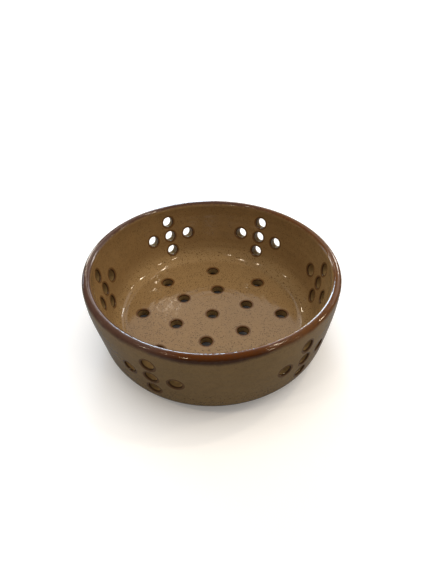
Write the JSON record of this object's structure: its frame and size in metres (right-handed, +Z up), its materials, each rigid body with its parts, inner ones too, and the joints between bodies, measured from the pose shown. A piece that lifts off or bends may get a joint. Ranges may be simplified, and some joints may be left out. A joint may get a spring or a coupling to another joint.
{
  "type": "berry colander bowl",
  "caption": "Round hand-thrown stoneware berry bowl on a low foot ring, glazed tan brown with a dark iron lip, with drain holes through its floor and in cross-shaped clusters through its wall.",
  "frame": {"origin": "centre of the foot ring's tread plane, on the surface that the bowl stands on", "axes": "+Z up, out of the bowl's mouth; +X to the right and +Y to the back as pictured"},
  "size_m": [0.17, 0.17, 0.059],
  "materials": {
    "bare_clay": "matt unglazed stoneware",
    "inside_glaze": "glossy, finely speckled",
    "outside_glaze": "glossy, finely speckled",
    "iron_glaze": "glossy, breaking from brown to purple black",
    "base_glaze": "glossy",
    "wall_lining": "glossy, darker brown at the mouths",
    "floor_lining": "glossy, darker brown at the mouths"
  },
  "bodies": {
    "root": {"clay_body": "bare_clay", "inside_glaze": "inside_glaze", "outside_glaze": "outside_glaze", "rim_glaze": "iron_glaze", "base_glaze": "base_glaze", "wall_hole_glaze": "wall_lining", "floor_hole_glaze": "floor_lining"}
  },
  "joints": []
}
